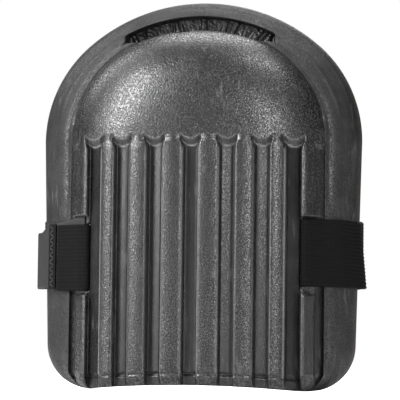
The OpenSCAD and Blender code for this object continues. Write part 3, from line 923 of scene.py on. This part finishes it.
# painted highlight for the grooves' edges and upper ends
FOAM_PAINTED_HIGHLIGHT = (0.30, 0.30, 0.30)
FOAM_CUT = (0.034, 0.027, 0.022)        # the brownish trimmed edge
FOAM_SHADE = (0.008, 0.008, 0.008)      # painted shade down in the pocket
FOAM_SPECULAR = 0.5
LINT = (0.16, 0.16, 0.165)
PEBBLE, WEAVE, SCUFFS = pebble_group(), weave_group(), worn_group()


def use(tree, made, inputs):
    """A node group placed in a material with its own values."""
    placed = node(tree, "ShaderNodeGroup", node_tree=made)
    for key, value in inputs.items():
        feed(tree, placed.inputs[key], value)
    return placed


def material(name, **plain):
    """A material with its constant sockets set on the shader; returns it, its tree and the shader."""
    mat = bpy.data.materials.new(name)
    mat.use_nodes = True
    shader = mat.node_tree.nodes["Principled BSDF"]
    for key, value in plain.items():
        shader.inputs[key.replace("_", " ")].default_value = value
    return mat, mat.node_tree, shader


def connect(tree, shader, colour, rough, height, strength, distance):
    """Colour, roughness and bump into the shader."""
    bump = node(tree, "ShaderNodeBump", {"Height": height, "Strength": strength, "Distance": distance})
    tree.links.new(colour, shader.inputs["Base Color"])
    tree.links.new(rough, shader.inputs["Roughness"])
    tree.links.new(bump.outputs["Normal"], shader.inputs["Normal"])


def field(tree, name, vector=False):
    """A value stored on the piece's points."""
    made = node(tree, "ShaderNodeAttribute", attribute_name=name)
    return made.outputs["Vector" if vector else "Fac"]


def foam_material():
    """Moulded closed-cell foam: dark grey, pebbled and sparkling on the dome and ribs, smoother in the
    grooves and on the flange, with painted highlights along the grooves' edges and upper ends, painted shade
    down in the pocket, and brownish along the trimmed edge."""
    mat, tree, shader = material("moulded_foam", IOR=1.5, Specular_IOR_Level=FOAM_SPECULAR,
                                 Coat_Roughness=0.24)
    spot = node(tree, "ShaderNodeTexCoord").outputs["Object"]
    pebble = use(tree, PEBBLE, {"Vector": spot, "Size": 1020.0})
    scuff = use(tree, SCUFFS, {"Vector": spot}).outputs["Mask"]
    raw, mottle = pebble.outputs["Grit"], pebble.outputs["Mottle"]
    grain, edge, pocket, painted_highlight = (field(tree, key) for key in ("grain", "edge", "pocket", "painted_highlight"))
    grit = maths(tree, "SUBTRACT", ramp(tree, raw, 0.38, 0.62), 0.5)
    speck = times(tree, grit, plus(tree, times(tree, grain, 0.95), 0.06))
    glint = times(tree, ramp(tree, raw, 0.5, 0.66), times(tree, grain, 0.9))
    tree.links.new(glint, shader.inputs["Coat Weight"])
    tone = plus(tree, plus(tree, 0.07, times(tree, grain, 0.07)), speck)
    tone = plus(tree, tone, times(tree, maths(tree, "SUBTRACT", mottle, 0.5), 0.35), clamp=True)
    # painted highlight: the grooves' edges and upper ends lightened in speckles
    speckled_highlight = times(tree, painted_highlight, ramp(tree, raw, 0.3, 0.6, 0.25, 0.85))
    colour = blend_colour(tree, tone, FOAM_DARK, FOAM_LIGHT)
    # FOAM_SHADE blended over the pocket is painted shade, lighter on the pleats' tops
    for factor, over in ((times(tree, scuff, 0.35), FOAM_SCUFF), (speckled_highlight, FOAM_PAINTED_HIGHLIGHT),
                         (times(tree, edge, 0.7), FOAM_CUT), (times(tree, pocket, 0.85), FOAM_SHADE)):
        colour = blend_colour(tree, factor, colour, over)
    rough = plus(tree, ramp(tree, raw, 0.38, 0.62, 0.44, 0.20), times(tree, scuff, 0.10))
    rough = plus(tree, rough, times(tree, maths(tree, "SUBTRACT", 1.0, grain), 0.08))
    rough = plus(tree, rough, times(tree, field(tree, "matt"), 0.20))
    height = times(tree, pebble.outputs["Height"], plus(tree, times(tree, grain, 0.9), 0.1))
    connect(tree, shader, colour, rough, height, 1.0, 0.00020)
    return mat


def lining_material():
    """Open-cell lining foam: charcoal, full of small pores."""
    mat, tree, shader = material("lining_foam", IOR=1.45, Specular_IOR_Level=0.25, Sheen_Weight=0.15,
                                 Sheen_Roughness=0.6)
    spot = node(tree, "ShaderNodeTexCoord").outputs["Object"]
    pores = node(tree, "ShaderNodeTexVoronoi", {"Vector": spot, "Scale": 620.0})
    pebble = use(tree, PEBBLE, {"Vector": spot, "Size": 1500.0})
    hole = ramp(tree, pores.outputs["Distance"], 0.18, 0.42)
    tone = times(tree, hole, ramp(tree, pebble.outputs["Mottle"], 0.3, 0.7, 0.65, 1.0))
    colour = blend_colour(tree, tone, (0.012, 0.012, 0.012), (0.058, 0.057, 0.055))
    rough = ramp(tree, hole, 0.0, 1.0, 0.95, 0.82)
    height = plus(tree, hole, times(tree, pebble.outputs["Grit"], 0.5))
    connect(tree, shader, colour, rough, height, 0.7, 0.0007)
    return mat


def woven_material(name, dark, light, pitch, slant, rough, gloss, depth, fuzz=0.3, lint=0.25):
    """Woven webbing or tape: cross threads, fuzz and a little pale lint."""
    mat, tree, shader = material(name, IOR=1.5, Specular_IOR_Level=gloss)
    cloth = use(tree, WEAVE, {"Lay": field(tree, "lay", True), "Pitch": pitch, "Slant": slant, "Fuzz": fuzz})
    colour = blend_colour(tree, cloth.outputs["Thread"], dark, light)
    colour = blend_colour(tree, times(tree, cloth.outputs["Lint"], lint), colour, LINT)
    shine = ramp(tree, cloth.outputs["Thread"], 0.0, 1.0, rough + 0.12, rough)
    connect(tree, shader, colour, shine, cloth.outputs["Height"], 0.75, depth)
    return mat


def pile_material(name, dark, light, scale, rough, depth):
    """Brushed loops or moulded hooks: a dense field of small tufts."""
    mat, tree, shader = material(name, IOR=1.5, Specular_IOR_Level=0.4, Sheen_Weight=0.4, Sheen_Roughness=0.4)
    lay = field(tree, "lay", True)
    tuft = node(tree, "ShaderNodeTexVoronoi", {"Vector": lay, "Scale": scale})
    fuzz = node(tree, "ShaderNodeTexNoise", {"Vector": lay, "Scale": scale * 2.2, "Detail": 4.0,
                                            "Roughness": 0.7})
    top = ramp(tree, tuft.outputs["Distance"], 0.1, 0.6, 1.0, 0.0)
    height = plus(tree, top, times(tree, fuzz.outputs[0], 0.6))
    colour = blend_colour(tree, ramp(tree, height, 0.3, 1.2), dark, light)
    connect(tree, shader, colour, ramp(tree, top, 0.0, 1.0, 0.95, rough), height, 0.9, depth)
    return mat


def thread_material():
    """Twisted sewing thread."""
    mat, tree, shader = material("sewing_thread", IOR=1.5, Specular_IOR_Level=0.5)
    split = node(tree, "ShaderNodeSeparateXYZ", {"Vector": field(tree, "lay", True)})
    ply = sine(tree, plus(tree, times(tree, split.outputs[0], 11.0), times(tree, split.outputs[1], 9.0)))
    colour = blend_colour(tree, ply, (0.007, 0.007, 0.008), (0.045, 0.045, 0.048))
    connect(tree, shader, colour, ramp(tree, ply, 0.0, 1.0, 0.6, 0.42), ply, 0.6, 0.0002)
    return mat


# ---------------------------------------------------------------- stage, lights and camera

AZIMUTH, ELEVATION, DISTANCE, ROLL = 8.8, -4.0, 1.30, 0.65      # camera, in degrees and metres
VIEW_WIDTH = 0.2304    # what the camera sees across at the pad, in metres
SENSOR = 36
AIM = (-0.8, 3.5, 109.0)                # what it points at: x, depth and level
LIT_MIDDLE = np.array([0, -0.04, 0.11])
LIGHTS = (             # azimuth and elevation in degrees, distance, (width, height) in metres, power
    ("left_box", -45, 26, 1.5, (0.46, 1.05), 36), ("right_box", 31, 14, 1.5, (0.36, 0.60), 10.5),
    ("left_strip", -100, 44, 1.3, (0.30, 0.7), 5), ("top", 186, 74, 1.3, (0.8, 0.5), 9),
    ("high_right", 62, 62, 1.4, (0.55, 0.4), 7), ("back", 176, 33, 1.6, (0.9, 0.5), 11))
FLOOR_R = 14.0


def towards(azimuth, elevation):
    """The unit direction from the pad at these angles in degrees; azimuth 0 is straight in front."""
    a, e = math.radians(azimuth), math.radians(elevation)
    return np.array([math.sin(a) * math.cos(e), -math.cos(a) * math.cos(e), math.sin(e)])


def put(name, data, spot, way):
    """An object for a light or camera at spot, looking along way."""
    obj = bpy.data.objects.new(name, data)
    bpy.context.scene.collection.objects.link(obj)
    obj.location = spot
    obj.rotation_mode = "QUATERNION"
    obj.rotation_quaternion = Vector(way).to_track_quat("-Z", "Y")
    return obj


def seen_or_not(tree, unseen, seen):
    """A shader that is seen for the camera's own rays and unseen for all others."""
    path = node(tree, "ShaderNodeLightPath")
    return node(tree, "ShaderNodeMixShader", {"Fac": path.outputs["Is Camera Ray"], 1: unseen.outputs[0],
                                             2: seen.outputs[0]})


def pale_floor():
    """A round matt floor that looks white to the camera."""
    a = np.linspace(0, 2 * math.pi, 96, endpoint=False)
    rim = np.stack([FLOOR_R * np.cos(a), FLOOR_R * np.sin(a), 0 * a], -1)
    mesh = bpy.data.meshes.new("floor")
    mesh.from_pydata(rim, [], [list(range(96))])
    floor = bpy.data.objects.new("floor", mesh)
    bpy.context.scene.collection.objects.link(floor)
    mat, tree, shader = material("pale_floor", Base_Color=(0.86, 0.86, 0.86, 1), Roughness=0.9)
    glow = seen_or_not(tree, node(tree, "ShaderNodeEmission", {"Strength": 0.0}),
                       node(tree, "ShaderNodeEmission", {"Strength": 1.2}))
    both = node(tree, "ShaderNodeAddShader", {0: shader.outputs[0], 1: glow.outputs[0]})
    tree.links.new(both.outputs[0], tree.nodes["Material Output"].inputs["Surface"])
    mesh.materials.append(mat)


def surround():
    """The world: white to the camera, and a faint cool light for all else."""
    world = bpy.data.worlds.new("studio")
    bpy.context.scene.world = world
    world.use_nodes = True
    tree = world.node_tree
    tree.nodes.clear()
    lit = node(tree, "ShaderNodeBackground", {"Color": (0.92, 0.95, 1.0, 1), "Strength": 0.03})
    seen = node(tree, "ShaderNodeBackground", {"Color": (1, 1, 1, 1), "Strength": 1.0})
    node(tree, "ShaderNodeOutputWorld", {"Surface": seen_or_not(tree, lit, seen).outputs[0]})


def soft_lights():
    """Rectangular soft lights, each turned towards the pad."""
    for name, azimuth, elevation, far, size, power in LIGHTS:
        data = bpy.data.lights.new(name, "AREA")
        data.shape = "RECTANGLE"
        data.size, data.size_y = size
        data.energy = power
        spot = LIT_MIDDLE + towards(azimuth, elevation) * far
        put(name, data, spot, LIT_MIDDLE - spot)


def camera():
    """The camera: a long lens, a little to the right of the pad and a little below its middle."""
    data = bpy.data.cameras.new("camera")
    data.sensor_width = SENSOR
    data.lens = SENSOR * DISTANCE / VIEW_WIDTH
    data.clip_start, data.clip_end = 0.05, 20
    back = towards(AZIMUTH, ELEVATION)
    obj = put("camera", data, place(AIM) + back * DISTANCE, -back)
    roll = Quaternion((0, 0, 1), math.radians(ROLL))
    obj.rotation_quaternion = obj.rotation_quaternion @ roll
    bpy.context.scene.camera = obj


pale_floor()
surround()
soft_lights()
camera()
bpy.context.scene.view_settings.view_transform = "Standard"

foam = foam_material()
lining = lining_material()
elastic = woven_material("elastic_webbing", dark=(0.001, 0.001, 0.0011), light=(0.006, 0.006, 0.0065),
                         pitch=0.8, slant=0.0, rough=0.72, gloss=0.12, depth=0.00012)
tape = woven_material("nylon_tape", dark=(0.014, 0.014, 0.0142), light=(0.036, 0.036, 0.037),
                      pitch=1.1, slant=0.6, rough=0.50, gloss=0.25, depth=0.00010, fuzz=0.2, lint=0.1)
dark_tape = woven_material("folded_tape", dark=(0.001, 0.001, 0.001), light=(0.010, 0.010, 0.0105),
                           pitch=0.9, slant=0.5, rough=0.65, gloss=0.12, depth=0.00016, fuzz=0.5, lint=0.5)
hooks = pile_material("hook_field", dark=(0.006, 0.006, 0.006), light=(0.030, 0.030, 0.031),
                      scale=0.62, rough=0.40, depth=0.0009)
pile = pile_material("loop_pile", dark=(0.005, 0.005, 0.006), light=(0.032, 0.032, 0.034),
                     scale=1.1, rough=0.80, depth=0.0007)
thread = thread_material()

shell = finish_piece(foam_shell(), "pad", "shell_foam", foam, "foam_shell")
cushion = finish_piece(knee_cushion(), "pad", "cushion_foam", lining, "knee_cushion")

finish_piece(left_elastic(), "pad", "elastic", elastic, "left_elastic")
finish_piece(left_tape(), "pad", "tape", tape, "left_tape")
finish_piece(webbing("left_sewn_fold", with_level(left_fold_path(), LEFT_FOLD_Z), STRAP_W - 0.6, 1.1,
                     across=41), "pad", "tape", dark_tape)
finish_piece(right_loop(), "pad", "elastic", elastic, "right_elastic_loop")
finish_piece(hook_tab(), "tab", "tape", tape, "hook_tab")
finish_piece(patch("hook_patch_bed", 141, 177, -2.75, 0.8, STRAP_W - 6), "tab", "hook", hooks, "hook_patch")
finish_piece(long_elastic(), "strap", "elastic", elastic, "long_elastic")
finish_piece(patch("loop_patch_pile", 96, 177, -1.22, 0.8, STRAP_W - 3), "strap", "pile", pile, "loop_patch")


def sew(name, seam, body, node_name, **size):
    """A seam's stitches as a piece; seam holds their middles, directions and normals."""
    finish_piece(stitches(name, *seam, **size), body, "thread", thread, node_name)


sew("left_zigzag_seam", zigzag_seam(), "pad", "left_front_stitches", length=3.4, wide=0.6, high=0.5)
sew("left_back_seam", left_back_seam(), "pad", "left_back_stitches")
sew("hook_patch_seam", seam_on_loop(np.arange(143, 176, 2.4)[:, None], STRAP_Z + np.array([-14.8, 14.8]),
                                    -2.30), "tab", "hook_patch_stitches")
sew("loop_patch_seam", seam_on_loop(np.arange(97.5, 176, 2.4)[:, None], STRAP_Z + np.array([-16.7, 16.7]),
                                    -1.66, face=-1), "strap", "loop_patch_stitches")
sew("strap_end_seam", seam_on_loop(np.array([172.0, 174.0])[:, None],
                                   STRAP_Z - 17 + 34 * (np.arange(11) + 0.5) / 11, 2.45, across=True),
    "strap", "strap_end_stitches")
sew("right_box_seam", box_seam(), "strap", "right_box_stitches")
